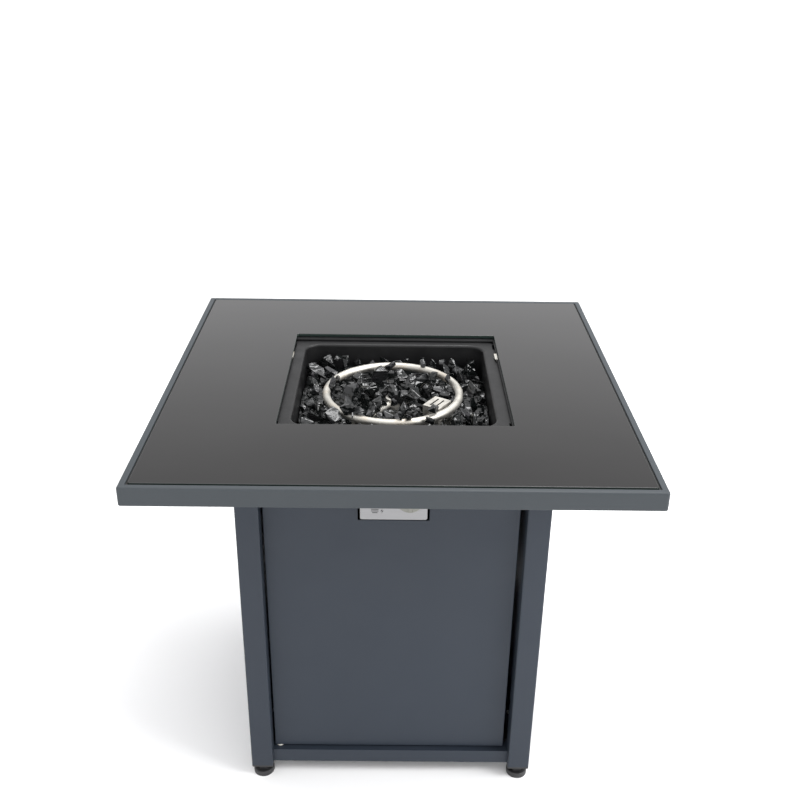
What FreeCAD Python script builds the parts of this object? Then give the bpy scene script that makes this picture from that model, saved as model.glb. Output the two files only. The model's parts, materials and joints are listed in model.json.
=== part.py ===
import FreeCAD, Part
import math
import os

# Square gas fire pit table: a steel and glass top round a burner pan, on a column with a door in front.
# Millimetres. The origin is on the floor under the middle of the table, +Z is up, and the door faces -Y.

V = FreeCAD.Vector
X_AXIS = V(1, 0, 0)
Y_AXIS = V(0, 1, 0)
Z_AXIS = V(0, 0, 1)

# Driving dimensions
TOP_WIDTH = 711
HEIGHT = 635
GLASS_THICK = 5
GLASS_PROUD = 0.5
GLASS_HOLE = 346
APRON_HEIGHT = 27.5
LIP = 9.5
GLASS_GAP = 3
COLUMN_WIDTH = 460
POST = 35
PANEL_RECESS = 19
PANEL_DEPTH = 12
RAIL = 25
FOOT_HEIGHT = 25
SHEET = 1.2
PLATE = 1.5
DECK_HOLE_WIDE = 346.6
DECK_HOLE_DEEP = 336
PAN_INSIDE = 304
PAN_WIDE = 340
PAN_DEEP = 334
PAN_CORNER = 25
PAN_DROP = 3
RING_RADIUS = 107
BURNER_TUBE = 6.35
RING_BELOW_TOP = 29
CROSS_DROP = 16
CROSS_TUBE = 5
DOOR_GAP_LEFT = 3
DOOR_GAP_RIGHT = 8
DOOR_GAP_ENDS = 3
CONTROL_X = 0.6
CONTROL_HALF = 49.2
NOTCH_HALF = 52.9
FASCIA_BOTTOM = 501.7
NOTCH_BOTTOM = 496.5
KNOB_X = 24
BUTTON_X = -24
KNOB_Z = 546
BUTTON_Z = 546
KNOB_RADIUS = 25
RUNNING_GAP = 0.08
GLASS_HOLE_MIDDLE = V(1.6, 0.4, 0)
DECK_HOLE_MIDDLE = V(-0.6, -5.5, 0)
BURNER_MIDDLE = V(-2.5, -5, 0)
PAN_OFF_BURNER = V(1.9, 0, 0)

# Levels and planes worked out from them
FRAME_TOP = HEIGHT - GLASS_PROUD
APRON_BOTTOM = FRAME_TOP - APRON_HEIGHT
GLASS_BOTTOM = HEIGHT - GLASS_THICK
DECK_TOP = GLASS_BOTTOM - 1
DECK_THICK = 2
DECK_BOTTOM = DECK_TOP - DECK_THICK
TOP_HALF = TOP_WIDTH / 2
LIP_HALF = TOP_HALF - LIP
GLASS_HALF = LIP_HALF - GLASS_GAP
HOLE_HALF = GLASS_HOLE / 2
COLUMN = COLUMN_WIDTH / 2
POST_INSIDE = COLUMN - POST
POST_BOTTOM = FOOT_HEIGHT
RAIL_IN = POST_INSIDE - 1
RAIL_OUT = RAIL_IN + RAIL
TOP_RAIL_BOTTOM = APRON_BOTTOM - RAIL
BASE_RAIL_TOP = POST_BOTTOM + RAIL
PANEL_FACE = COLUMN - PANEL_RECESS
PANEL_BACK = PANEL_FACE - PANEL_DEPTH
PAN_HALF = PAN_INSIDE / 2
FLANGE_TOP = DECK_TOP - PAN_DROP
PAN_FLOOR = 560
RING_Z = HEIGHT - RING_BELOW_TOP
CROSS_Z = RING_Z - CROSS_DROP
DOOR_LEFT = -POST_INSIDE + DOOR_GAP_LEFT
DOOR_RIGHT = POST_INSIDE - DOOR_GAP_RIGHT
DOOR_BOTTOM = BASE_RAIL_TOP + DOOR_GAP_ENDS
DOOR_TOP = TOP_RAIL_BOTTOM - DOOR_GAP_ENDS
PIVOT_X = DOOR_LEFT + 8
PIVOT_Y = -(PANEL_FACE + PANEL_BACK) / 2
FASCIA_FRONT = -(PANEL_FACE + 6)
FASCIA_BACK = FASCIA_FRONT + PLATE
FASCIA_TOP = TOP_RAIL_BOTTOM
BURNER_LINE_Z = 530
CAGE_TOP = HEIGHT - 23.5
CAGE_ANGLE = -33
CAGE_REACH = 83
CAGE_LONG = 38
CAGE_SHORT = 29


def box(x0, x1, y0, y1, z0, z1):
    """A block between two corners, given in any order."""
    low = V(min(x0, x1), min(y0, y1), min(z0, z1))
    return Part.makeBox(abs(x1 - x0), abs(y1 - y0), abs(z1 - z0), low)


def square(half, z0, z1):
    """A square block about the middle axis."""
    return box(-half, half, -half, half, z0, z1)


def rectangle(wide, deep, z0, z1):
    """A block about the middle axis, given by its whole width and depth."""
    return box(-wide / 2, wide / 2, -deep / 2, deep / 2, z0, z1)


def square_ring(outer, inner, z0, z1):
    return square(outer, z0, z1).cut(square(inner, z0 - 1, z1 + 1))


def rod(radius, start, end):
    """A round bar between two points."""
    return Part.makeCylinder(radius, (end - start).Length, start, end - start)


def pipe(outer, inner, start, end):
    return rod(outer, start, end).cut(rod(inner, start, end))


def hexagon(across_flats, start, end):
    """A hexagonal bar between two points."""
    bar = Part.Face(Part.makePolygon(hexagon_points(across_flats))).extrude(V(0, 0, (end - start).Length))
    bar.Placement = FreeCAD.Placement(start, FreeCAD.Rotation(Z_AXIS, end - start))
    return bar


def hexagon_points(across_flats):
    radius = across_flats / math.sqrt(3)
    corners = [math.radians(60 * k) for k in range(7)]
    return [V(radius * math.cos(a), radius * math.sin(a), 0) for a in corners]


def join(shapes):
    """One clean solid from overlapping shapes."""
    return shapes[0].multiFuse(shapes[1:]).removeSplitter()


def upright(edge):
    return edge.BoundBox.ZLength > 1 and edge.BoundBox.XLength < 0.01 and edge.BoundBox.YLength < 0.01


def level(z):
    """A test for edges that lie wholly at one height."""
    return lambda edge: edge.BoundBox.ZLength < 0.01 and abs(edge.BoundBox.ZMin - z) < 0.01


def inside(half):
    """A test for edges within a square of this half width."""
    def test(edge):
        b = edge.BoundBox
        return max(abs(b.XMin), abs(b.XMax), abs(b.YMin), abs(b.YMax)) < half
    return test


def round_edges(shape, radius, *tests):
    edges = [edge for edge in shape.Edges if all(test(edge) for test in tests)]
    return shape.makeFillet(radius, edges)


def turned(shape, degrees):
    """The same shape, swung about the middle axis of the table."""
    copy = shape.copy()
    copy.rotate(V(0, 0, 0), Z_AXIS, degrees)
    return copy


def moved(shape, offset):
    copy = shape.copy()
    copy.translate(offset)
    return copy


def bent_rod(points, radius):
    """A round rod along straight runs joined by tangent arcs. Prints its bend radii and its length."""
    edges = []
    radii = []
    start = points[0]
    for before, corner, after in zip(points, points[1:], points[2:]):
        way_in = (corner - before).normalize()
        way_out = (after - corner).normalize()
        half_turn = way_in.getAngle(way_out) / 2
        reach = 0.45 * min((corner - before).Length, (after - corner).Length)
        bend = reach / math.tan(half_turn)
        middle = corner + (way_out - way_in).normalize() * (bend / math.cos(half_turn) - bend)
        edges.append(Part.LineSegment(start, corner - way_in * reach).toShape())
        edges.append(Part.Arc(corner - way_in * reach, middle, corner + way_out * reach).toShape())
        radii.append(round(bend, 1))
        start = corner + way_out * reach
    edges.append(Part.LineSegment(start, points[-1]).toShape())
    path = Part.Wire(edges)
    profile = Part.Wire([Part.makeCircle(radius, points[0], points[1] - points[0])])
    print("bend radii", radii, "length", round(path.Length, 1))
    return path.makePipeShell([profile], True, False)


def screw(seat, way, shank=2.0, head=3.8, length=9):
    """A pan-head screw: seat is the point under its head, and way the direction it is driven."""
    cap = rod(head, seat - way * 2.4, seat)
    rim = [edge for edge in cap.Edges if abs((edge.CenterOfMass - (seat - way * 2.4)).Length) < 0.01]
    cap = cap.makeFillet(1.2, rim)
    cap = cap.cut(hexagon(2.5, seat - way * 3, seat - way * 1.0))
    return join([cap, rod(shank, seat - way * 0.5, seat + way * length)])


# Tabletop frame, deck and glass

def frame_quarter():
    """The mitred quarter of the plan that the front rail keeps."""
    far = TOP_HALF + 5
    triangle = Part.Face(Part.makePolygon([V(0, 0, 0), V(-far, -far, 0), V(far, -far, 0), V(0, 0, 0)]))
    return triangle.extrude(V(0, 0, HEIGHT))


def top_rails():
    """Four hollow rails with a raised lip, mitred at the corners."""
    frame = square(TOP_HALF, APRON_BOTTOM, FRAME_TOP)
    frame = round_edges(frame, 4, upright)
    frame = round_edges(frame, 2.8, level(FRAME_TOP))
    frame = round_edges(frame, 1.5, level(APRON_BOTTOM))
    frame = frame.cut(square(LIP_HALF, DECK_BOTTOM, HEIGHT))
    frame = frame.cut(square(LIP_HALF - 20, 0, HEIGHT))
    frame = round_edges(frame, 1.2, level(FRAME_TOP), inside(LIP_HALF + 0.5))
    hollow = square(TOP_HALF - PLATE, APRON_BOTTOM + PLATE, FRAME_TOP - PLATE)
    hollow = round_edges(hollow, 2.5, upright)
    hollow = round_edges(hollow, 1.3, level(FRAME_TOP - PLATE))
    hollow = hollow.cut(square(LIP_HALF + PLATE, DECK_BOTTOM - PLATE, HEIGHT))
    hollow = hollow.cut(square(LIP_HALF - 20 + PLATE, 0, HEIGHT))
    frame = frame.cut(hollow)
    quarter = frame_quarter()
    sides = {"front": 0, "right": 90, "back": 180, "left": 270}
    return {f"top_rail_{side}": frame.common(turned(quarter, angle)) for side, angle in sides.items()}


def top_deck():
    hole = rectangle(DECK_HOLE_WIDE, DECK_HOLE_DEEP, 0, HEIGHT)
    deck = square(LIP_HALF - 1, DECK_BOTTOM, DECK_TOP).cut(moved(hole, DECK_HOLE_MIDDLE))
    return round_edges(deck, 2, upright)


def glass_gasket():
    """An angle strip: its flat leg carries the glass and its upright leg fills the gap at the lip."""
    flat = square_ring(LIP_HALF - 0.3, GLASS_HALF - 12, DECK_TOP, GLASS_BOTTOM)
    stand = square_ring(LIP_HALF - 0.3, GLASS_HALF + 0.3, DECK_TOP, HEIGHT - 2.6)
    return join([flat, stand])


def glass_top():
    hole = moved(square(HOLE_HALF, 0, HEIGHT + 1), GLASS_HOLE_MIDDLE)
    glass = square(GLASS_HALF, GLASS_BOTTOM, HEIGHT).cut(hole)
    glass = round_edges(glass, 3, upright)
    return round_edges(glass, 1.0, level(HEIGHT))


def deck_bearers():
    """Two tubes on the posts that carry the deck and tie the front and back rails."""
    reach = LIP_HALF - 20
    side = RAIL / 2
    bore = side - PLATE
    outer = box(-side, side, -reach, reach, APRON_BOTTOM, DECK_BOTTOM)
    inner = box(-bore, bore, -reach, reach, APRON_BOTTOM + PLATE, DECK_BOTTOM - PLATE)
    bearer = outer.cut(inner)
    middle = COLUMN - POST / 2
    return Part.makeCompound([moved(bearer, V(x, 0, 0)) for x in (-middle, middle)])


# Burner pan and what holds it

def pan_supports():
    """Four stepped strips under the deck that carry the flange of the pan on every side."""
    inner = PAN_HALF + 8
    low = FLANGE_TOP - SHEET - PLATE

    def strip(half_length, step):
        return join([
            box(-half_length, half_length, inner, step + PLATE, low, low + PLATE),
            box(-half_length, half_length, step, step + PLATE, low, DECK_BOTTOM),
            box(-half_length, half_length, step, step + 14, DECK_BOTTOM - PLATE, DECK_BOTTOM),
        ])
    across = strip(PAN_WIDE / 2 + 6, DECK_HOLE_DEEP / 2 + 4)
    along = turned(strip(PAN_HALF - 12, DECK_HOLE_WIDE / 2 + 4), 90)
    strips = Part.makeCompound([across, turned(across, 180), along, turned(along, 180)])
    return moved(strips, PAN_OFF_BURNER)


def tub(half, corner, base, top):
    """A square tub with rounded corners and a rounded foot."""
    body = round_edges(square(half, base, top), corner, upright)
    return round_edges(body, corner / 2, level(base))


def pan_holes():
    """The inlet hole in the middle, two lead holes under the igniter, and drains near the corners."""
    holes = [rod(9, V(0, 0, PAN_FLOOR - 5), V(0, 0, PAN_FLOOR + 5))]
    reach = PAN_HALF - 34
    drains = [V(x, y, 0) for x in (-reach, reach) for y in (-reach, reach)]
    for at, radius in [(spark_foot(), 3.6), (probe_foot(), 3.6)] + [(drain, 4) for drain in drains]:
        holes.append(rod(radius, V(at.x, at.y, PAN_FLOOR - 5), V(at.x, at.y, PAN_FLOOR + 5)))
    return holes


def burner_pan():
    shell = tub(PAN_HALF + SHEET, PAN_CORNER + SHEET, PAN_FLOOR - SHEET, FLANGE_TOP)
    flange = round_edges(rectangle(PAN_WIDE, PAN_DEEP, FLANGE_TOP - SHEET, FLANGE_TOP), 5, upright)
    pan = join([shell, flange])
    pan = round_edges(pan, 2.8, level(FLANGE_TOP - SHEET), inside(PAN_HALF + 3))
    pan = pan.cut(tub(PAN_HALF, PAN_CORNER, PAN_FLOOR, HEIGHT))
    pan = round_edges(pan, 3.9, level(FLANGE_TOP), inside(PAN_HALF + 1))
    return moved(pan, PAN_OFF_BURNER).cut(pan_holes())


def pan_clips():
    """Two bright spring clips on the deck's edge, each with a leg in the gap beside the pan."""
    def clip(lip_start, leg_start):
        lip = box(lip_start, lip_start + 4.6, 81, 105, DECK_TOP, DECK_TOP + 0.8)
        leg = box(leg_start, leg_start + 0.8, 81, 105, FLANGE_TOP, DECK_TOP + 0.8)
        return join([lip, leg])
    return Part.makeCompound([clip(-175.2, -172.6), clip(168.9, 170.6)])


# Burner

def burner_ring():
    """A hollow ring with gas ports underneath and a feed hole over each riser of the cross tube."""
    middle = V(0, 0, RING_Z)
    ring = Part.makeTorus(RING_RADIUS, BURNER_TUBE, middle)
    ring = ring.cut(Part.makeTorus(RING_RADIUS, BURNER_TUBE - 1.1, middle))
    port = rod(0.9, V(RING_RADIUS, 0, RING_Z), V(RING_RADIUS, 0, RING_Z - 8))
    ends = (-RING_RADIUS, RING_RADIUS)
    feeds = [rod(3, along_bar(end, RING_Z), along_bar(end, RING_Z - 8)) for end in ends]
    return ring.cut(feeds + [turned(port, CAGE_ANGLE + 96 + 12 * k) for k in range(30)])


def along_bar(distance, z):
    """A point above the cross tube, which runs at right angles to the igniter's direction."""
    angle = math.radians(CAGE_ANGLE + 90)
    return V(distance * math.cos(angle), distance * math.sin(angle), z)


def cross_shapes(radius):
    """The cross tube's run, corners and risers, at a given radius."""
    ends = (-RING_RADIUS, RING_RADIUS)
    run = [rod(radius, along_bar(ends[0], CROSS_Z), along_bar(ends[1], CROSS_Z))]
    corners = [Part.makeSphere(radius, along_bar(end, CROSS_Z)) for end in ends]
    risers = [rod(radius, along_bar(end, CROSS_Z), along_bar(end, RING_Z)) for end in ends]
    return run + corners + risers


def burner_crossbar():
    """The cross tube that feeds the ring from below, with its threaded hub in the middle."""
    hub = rod(12, V(0, 0, CROSS_Z - 12), V(0, 0, CROSS_Z + 9))
    hub = hub.makeFillet(1.5, [edge for edge in hub.Edges if level(CROSS_Z + 9)(edge)])
    bar = join(cross_shapes(CROSS_TUBE) + [hub])
    bar = bar.cut(cross_shapes(CROSS_TUBE - 1))
    bar = bar.cut(Part.makeTorus(RING_RADIUS, BURNER_TUBE, V(0, 0, RING_Z)))
    return bar.cut(rod(8.5, V(0, 0, CROSS_Z - 20), V(0, 0, CROSS_Z - 1)))


def burner_nipple():
    return pipe(8.5, 6.3, V(0, 0, BURNER_LINE_Z + 14), V(0, 0, CROSS_Z - 1))


def pan_locknuts():
    """Two nuts that clamp the pan's floor on the nipple."""
    upper = hexagon(27, V(0, 0, PAN_FLOOR), V(0, 0, PAN_FLOOR + 7))
    lower = hexagon(27, V(0, 0, PAN_FLOOR - SHEET - 7), V(0, 0, PAN_FLOOR - SHEET))
    bore = rod(8.5, V(0, 0, PAN_FLOOR - 20), V(0, 0, PAN_FLOOR + 20))
    return Part.makeCompound([upper.cut(bore), lower.cut(bore)])


def burner_elbow():
    corner = V(0, 0, BURNER_LINE_Z)
    body = join([
        Part.makeSphere(12, corner),
        rod(12, corner, corner + Z_AXIS * 20),
        rod(12, corner, corner - Y_AXIS * 24),
    ])
    bores = [
        rod(8.5, corner + Z_AXIS * 14, corner + Z_AXIS * 21),
        rod(7.4, corner, corner + Z_AXIS * 15),
        rod(7.4, corner, corner - Y_AXIS * 18),
        rod(9, corner - Y_AXIS * 17, corner - Y_AXIS * 25),
        Part.makeSphere(7.4, corner),
    ]
    return body.cut(bores)


def air_mixer():
    """A tube with two windows that let air in round the orifice."""
    def at(y):
        return V(0, y, BURNER_LINE_Z)
    body = join([rod(9, at(-17), at(-50)), rod(12, at(-27), at(-80))])
    return body.cut([
        rod(6.5, at(-16), at(-40)),
        rod(10, at(-40), at(-74)),
        rod(6, at(-70), at(-81)),
        box(-15, 15, -66, -46, BURNER_LINE_Z - 5, BURNER_LINE_Z + 5),
    ])


def gas_orifice():
    """The brass jet, with the flare that the feed pipe ends on."""
    axis = V(0, 0, BURNER_LINE_Z)
    body = join([
        rod(4, axis - Y_AXIS * 60, axis - Y_AXIS * 72),
        rod(6, axis - Y_AXIS * 70, axis - Y_AXIS * 80),
        hexagon(15, axis - Y_AXIS * 80, axis - Y_AXIS * 94),
    ])
    return body.cut([
        rod(0.8, axis - Y_AXIS * 59, axis - Y_AXIS * 66),
        rod(2.8, axis - Y_AXIS * 65, axis - Y_AXIS * 88),
        rod(4, axis - Y_AXIS * 88, axis - Y_AXIS * 95),
    ])


# Igniter in the pan

def cage_place(across, along, z):
    """A point given from the middle of the cage: across is outwards from the table's axis."""
    out = math.radians(CAGE_ANGLE)
    side = math.radians(CAGE_ANGLE + 90)
    x = (CAGE_REACH + across) * math.cos(out) + along * math.cos(side)
    y = (CAGE_REACH + across) * math.sin(out) + along * math.sin(side)
    return V(x, y, z)


def cage_block(across0, across1, along0, along1, z0, z1):
    """A block that lies square with the cage."""
    block = box(CAGE_REACH + across0, CAGE_REACH + across1, along0, along1, z0, z1)
    return turned(block, CAGE_ANGLE)


def spark_foot():
    return cage_place(0, 9, 0)


def probe_foot():
    return cage_place(0, -9, 0)


def igniter_cage():
    """A thin steel cover with two long slots on top and windows in its walls."""
    short = CAGE_SHORT / 2
    long = CAGE_LONG / 2
    cage = cage_block(-short, short, -long, long, PAN_FLOOR, CAGE_TOP)
    cage = cage.cut(cage_block(-short + 1, short - 1, -long + 1, long - 1, PAN_FLOOR - 1, CAGE_TOP - 1))
    slots = [cage_block(at - 1.4, at + 1.4, -13, 13, CAGE_TOP - 5, CAGE_TOP + 5) for at in (-5, 5)]
    windows = [cage_block(-30, 30, at - 3, at + 3, CAGE_TOP - 22, CAGE_TOP - 8) for at in (-11, 0, 11)]
    windows += [cage_block(at - 3, at + 3, -30, 30, CAGE_TOP - 22, CAGE_TOP - 8) for at in (-6, 6)]
    return cage.cut(slots + windows)


def igniter_bracket():
    """A folded plate inside the cage that holds the electrode and the probe."""
    base = cage_block(-11, 11, -17, 17, PAN_FLOOR, PAN_FLOOR + PLATE)
    back = cage_block(-11, -11 + PLATE, -17, 17, PAN_FLOOR, PAN_FLOOR + 26)
    shelf = cage_block(-11, 6, -17, 17, PAN_FLOOR + 26 - PLATE, PAN_FLOOR + 26)
    bracket = join([base, back, shelf])
    holes = []
    for foot in (spark_foot(), probe_foot()):
        holes.append(rod(3.6, V(foot.x, foot.y, PAN_FLOOR - 1), V(foot.x, foot.y, PAN_FLOOR + 40)))
    return bracket.cut(holes)


def spark_electrode():
    """A ceramic sleeve with a collar, and a rod whose tip leans towards the probe."""
    foot = spark_foot()

    def at(z):
        return V(foot.x, foot.y, z)
    lean = (probe_foot() - foot).normalize() * 5
    knee = at(PAN_FLOOR + 42)
    return join([
        rod(3.4, at(PAN_FLOOR + 14), at(PAN_FLOOR + 36)),
        rod(5, at(PAN_FLOOR + 26), at(PAN_FLOOR + 29)),
        rod(1.0, at(PAN_FLOOR + 10), knee),
        Part.makeSphere(1.0, knee),
        rod(1.0, knee, knee + lean + Z_AXIS * 2),
    ])


def thermocouple_probe():
    foot = probe_foot()

    def at(z):
        return V(foot.x, foot.y, z)
    return join([
        rod(2.4, at(PAN_FLOOR + 10), at(PAN_FLOOR + 42)),
        Part.makeSphere(2.4, at(PAN_FLOOR + 42)),
        rod(3.4, at(PAN_FLOOR + 18), at(PAN_FLOOR + 26)),
        rod(5, at(PAN_FLOOR + 26), at(PAN_FLOOR + 29)),
    ])


def fire_glass():
    """The heap of glass chips as one bed that fills the pan round the burner and the igniter."""
    bed = moved(tub(PAN_HALF - 0.6, PAN_CORNER - 0.6, PAN_FLOOR + 0.4, RING_Z - 1), PAN_OFF_BURNER)
    short = CAGE_SHORT / 2 + 1
    long = CAGE_LONG / 2 + 1
    return bed.cut(cross_shapes(CROSS_TUBE + 0.5) + [
        Part.makeTorus(RING_RADIUS, BURNER_TUBE + 0.5, V(0, 0, RING_Z)),
        rod(17, V(0, 0, PAN_FLOOR - 5), V(0, 0, CROSS_Z + 9.5)),
        cage_block(-short, short, -long, long, PAN_FLOOR - 5, HEIGHT),
    ])


# Column

def corners():
    """The middles of the four posts, by name."""
    reach = COLUMN - POST / 2
    return {
        "front_left": V(-reach, -reach, 0),
        "front_right": V(reach, -reach, 0),
        "back_left": V(-reach, reach, 0),
        "back_right": V(reach, reach, 0),
    }


def post():
    outer = box(-POST / 2, POST / 2, -POST / 2, POST / 2, POST_BOTTOM, APRON_BOTTOM)
    outer = round_edges(outer, 2.5, upright)
    half = POST / 2 - PLATE
    return outer.cut(round_edges(box(-half, half, -half, half, POST_BOTTOM, APRON_BOTTOM), 1, upright))


def post_plugs():
    half = POST / 2 - PLATE - 0.2
    flange = box(-POST / 2, POST / 2, -POST / 2, POST / 2, POST_BOTTOM - 3, POST_BOTTOM)
    flange = round_edges(flange, 2.5, upright)
    body = round_edges(box(-half, half, -half, half, POST_BOTTOM, POST_BOTTOM + 20), 1, upright)
    plug = join([flange, body])
    plug = plug.cut(rod(4 + RUNNING_GAP, V(0, 0, 0), V(0, 0, POST_BOTTOM + 21)))
    return Part.makeCompound([moved(plug, at) for at in corners().values()])


def levelling_foot():
    """A round pad with a hexagon for a spanner, and its threaded stem."""
    pad = rod(17, V(0, 0, 0), V(0, 0, 9))
    pad = pad.makeFillet(2, [edge for edge in pad.Edges if level(9)(edge)])
    return join([pad, hexagon(20, V(0, 0, 9), V(0, 0, 15)), rod(4, V(0, 0, 15), V(0, 0, POST_BOTTOM + 16))])


def column_rail(z):
    """One front rail tube between two posts, hollow, with its lowest face at z."""
    x = POST_INSIDE
    outer = box(-x, x, -RAIL_OUT, -RAIL_IN, z, z + RAIL)
    inner = box(-x, x, -RAIL_OUT + PLATE, -RAIL_IN - PLATE, z + PLATE, z + RAIL - PLATE)
    return outer.cut(inner)


def column_rails(z):
    """Four rails round the column, drilled for the hinge pins and the panel screws."""
    drills = [rod(3, V(PIVOT_X, PIVOT_Y, z - 1), V(PIVOT_X, PIVOT_Y, z + RAIL + 1))]
    for at, _ in panel_screw_seats():
        drills.append(rod(2, V(at.x, at.y, z - 1), V(at.x, at.y, z + RAIL + 1)))
    return Part.makeCompound([turned(column_rail(z), 90 * k).cut(drills) for k in range(4)])


def panel_screw_seats():
    """Where the panel screws sit and the way each is driven, up or down into the rails."""
    line = (PANEL_FACE + PANEL_BACK) / 2
    seats = []
    for turn in (90, 180, 270):
        for along in (-130, 130):
            at = FreeCAD.Rotation(Z_AXIS, turn).multVec(V(along, -line, 0))
            seats.append((at + Z_AXIS * (BASE_RAIL_TOP + SHEET), -Z_AXIS))
            seats.append((at + Z_AXIS * (TOP_RAIL_BOTTOM - SHEET), Z_AXIS))
    return seats


def tray(x0, x1, z0, z1):
    """A front sheet with four edges folded back, facing -Y."""
    outer = box(x0, x1, -PANEL_FACE, -PANEL_BACK, z0, z1)
    front = [edge for edge in outer.Edges if abs(edge.BoundBox.YMax + PANEL_FACE) < 0.01]
    outer = outer.makeFillet(1.1, front)
    return outer.cut(box(x0 + SHEET, x1 - SHEET, -PANEL_FACE + SHEET, 0, z0 + SHEET, z1 - SHEET))


def fixed_panel(turn):
    side = POST_INSIDE - DOOR_GAP_LEFT
    panel = turned(tray(-side, side, BASE_RAIL_TOP, TOP_RAIL_BOTTOM), turn)
    return panel.cut([rod(2, at - way * 5, at + way * 5) for at, way in panel_screw_seats()])


def vents():
    """Two rows of upright air slots through the back panel."""
    slots = []
    for z in (BASE_RAIL_TOP + 40, TOP_RAIL_BOTTOM - 90):
        for k in range(-5, 6):
            slot = box(24 * k - 3, 24 * k + 3, 0, COLUMN, z, z + 50)
            slots.append(slot.makeFillet(2.9, [e for e in slot.Edges if e.BoundBox.YLength > 10]))
    return slots


def floor_plate():
    """The shelf for the gas bottle, with a hole for its foot ring and cut corners for the posts."""
    plate = square(RAIL_IN + 4, BASE_RAIL_TOP, BASE_RAIL_TOP + PLATE)
    far = RAIL_IN + 10
    cuts = [rod(95, V(0, 0, 0), V(0, 0, 100))]
    for turn in range(4):
        cuts.append(turned(box(POST_INSIDE - 2, far, POST_INSIDE - 2, far, 0, 100), 90 * turn))
        for k in (-1, 1):
            at = FreeCAD.Rotation(Z_AXIS, 45 + 90 * turn + 14 * k).multVec(V(160, 0, 0))
            cuts.append(rod(9, at, at + Z_AXIS * 100))
    return plate.cut(cuts)


def tank_ring():
    """A hoop that keeps the bottle's foot ring in place, on four tabs."""
    base = BASE_RAIL_TOP + PLATE
    hoop = pipe(106, 104.5, V(0, 0, base), V(0, 0, base + 20))
    tab = box(104.9, 122, -9, 9, base, base + PLATE)
    tab = tab.cut(rod(2.5, V(115, 0, 0), V(115, 0, 100)))
    return join([hoop] + [turned(tab, 90 * k + 45) for k in range(4)])


# Door

def door_panel():
    """The front panel, hung on pins at its left, with a notch at the top that clears the controls."""
    door = tray(DOOR_LEFT, DOOR_RIGHT, DOOR_BOTTOM, DOOR_TOP)
    notch = box(CONTROL_X - NOTCH_HALF, CONTROL_X + NOTCH_HALF, -COLUMN, 0, NOTCH_BOTTOM, HEIGHT)
    door = door.cut(notch)
    return door.cut(rod(4.5, V(PIVOT_X, PIVOT_Y, 0), V(PIVOT_X, PIVOT_Y, HEIGHT)))


def at_pivot(z):
    return V(PIVOT_X, PIVOT_Y, z)


def hinge_plates():
    """Two plates that stiffen the folded edges where the bushes sit."""
    def plate(z0, z1):
        blank = box(DOOR_LEFT + SHEET, PIVOT_X + 22, -PANEL_FACE + SHEET, -PANEL_BACK - 0.4, z0, z1)
        return blank.cut(rod(4.5, at_pivot(0), at_pivot(HEIGHT)))
    lower = plate(DOOR_BOTTOM + SHEET, DOOR_BOTTOM + SHEET + 2.5)
    upper = plate(DOOR_TOP - SHEET - 2.5, DOOR_TOP - SHEET)
    return Part.makeCompound([lower, upper])


def hinge_bushes():
    """Two flanged nylon bushes in the folded edges of the door."""
    def bush(face, way):
        sleeve = rod(4.5, at_pivot(face), at_pivot(face - way * 5))
        flange = rod(5.8, at_pivot(face), at_pivot(face + way * 2.6))
        bore = rod(3 + RUNNING_GAP, at_pivot(0), at_pivot(HEIGHT))
        return join([sleeve, flange]).cut(bore)
    return Part.makeCompound([bush(DOOR_BOTTOM, -1), bush(DOOR_TOP, 1)])


def hinge_pins():
    """Two collared pins fixed in the rails, one pointing up and one down into the door."""
    def pin(face, way):
        shaft = rod(3, at_pivot(face + way * 14), at_pivot(face - way * 8.5))
        collar = rod(5, at_pivot(face + way * PLATE), at_pivot(face + way * (PLATE + 2)))
        return join([shaft, collar])
    return Part.makeCompound([pin(BASE_RAIL_TOP, -1), pin(TOP_RAIL_BOTTOM, 1)])


def catch_magnet():
    """A moulded magnetic catch on the back of the right post."""
    wing = box(168, 212, -POST_INSIDE, -POST_INSIDE + 1.6, 528, 568)
    block = box(168, 184, -PANEL_BACK + 0.25, -POST_INSIDE + 0.8, 528, 568)
    holes = [rod(2.2, V(204, -COLUMN, z), V(204, 0, z)) for z in (537, 559)]
    return join([wing, block]).cut(holes)


def door_strike():
    """The steel angle on the door that the catch pulls."""
    fold = DOOR_RIGHT - SHEET
    face = box(166, fold, -PANEL_BACK - PLATE, -PANEL_BACK, 530, 566)
    leg = box(fold - PLATE, fold, -PANEL_FACE + SHEET, -PANEL_BACK, 530, 566)
    return join([face, leg])


# Controls

def control_fascia():
    x0 = CONTROL_X - CONTROL_HALF
    x1 = CONTROL_X + CONTROL_HALF
    plate = box(x0, x1, FASCIA_FRONT, FASCIA_BACK, FASCIA_BOTTOM, FASCIA_TOP)
    low = [e for e in plate.Edges if e.BoundBox.YLength > 1 and e.BoundBox.ZMax < FASCIA_BOTTOM + 0.01]
    plate = plate.makeFillet(3, low)
    return plate.cut(control_holes())


def control_holes():
    """Openings for the valve stem, the igniter and the two fascia screws."""
    through = Y_AXIS * 40
    holes = [rod(4.2, V(KNOB_X, FASCIA_FRONT - 5, KNOB_Z), V(KNOB_X, FASCIA_FRONT - 5, KNOB_Z) + through)]
    button = V(BUTTON_X, FASCIA_FRONT - 5, BUTTON_Z)
    holes.append(rod(10, button, button + through))
    for seat in fascia_seats():
        holes.append(rod(2, seat - Y_AXIS * 5, seat + through))
    return holes


def fascia_seats():
    return [V(CONTROL_X + side * 42, FASCIA_FRONT, FASCIA_TOP - 10) for side in (-1, 1)]


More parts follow.
